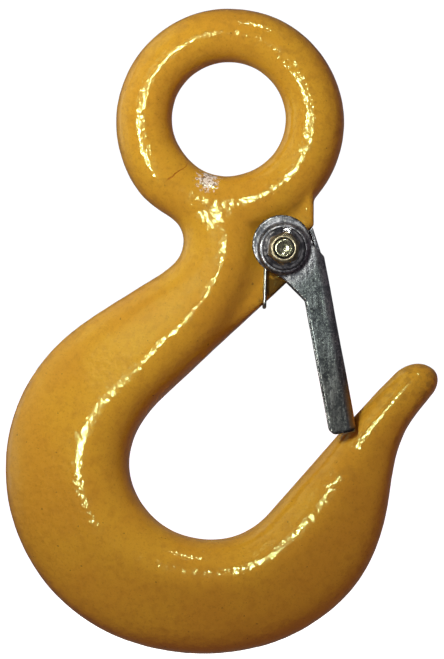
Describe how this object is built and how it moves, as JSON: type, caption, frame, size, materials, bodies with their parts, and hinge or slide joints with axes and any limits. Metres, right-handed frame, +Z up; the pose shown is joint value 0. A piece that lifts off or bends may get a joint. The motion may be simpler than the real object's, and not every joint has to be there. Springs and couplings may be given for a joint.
{
  "type": "eye hook with latch",
  "caption": "Forged eye sling hook for lifting chain, with a spring-loaded sheet steel latch that turns on a bolt through a lug in the neck and closes the throat.",
  "frame": {"origin": "centre of the eye's hole, in the middle plane of the hook", "axes": "+Z up from the bowl to the eye, +X towards the point, +Y through the eye, away from the side with the lock nut"},
  "size_m": [0.1179, 0.0313, 0.176],
  "materials": {
    "enamel": "glossy enamel over a forged surface",
    "zinc_sheet": "zinc plated, dull and streaked",
    "spring_wire": "drawn wire",
    "bolt_steel": "bright zinc plate",
    "nut_steel": "yellow passivated",
    "nylon": "black nylon"
  },
  "bodies": {
    "hook": {"hook_body": "enamel", "latch_bolt": "bolt_steel", "lock_nut": "nut_steel", "nut_insert": "nylon", "latch_spring": "spring_wire"},
    "latch": {"latch": "zinc_sheet"}
  },
  "joints": [
    {"name": "latch_pivot", "type": "hinge", "parent": "hook", "child": "latch", "pos_m": [0.01484, 0, -0.03564], "axis": [0, 1, 0], "range_deg": [0, 55], "stiffness_Nm_per_rad": 0.36, "springref_deg": -29.79, "deforming": ["latch_spring"]}
  ]
}
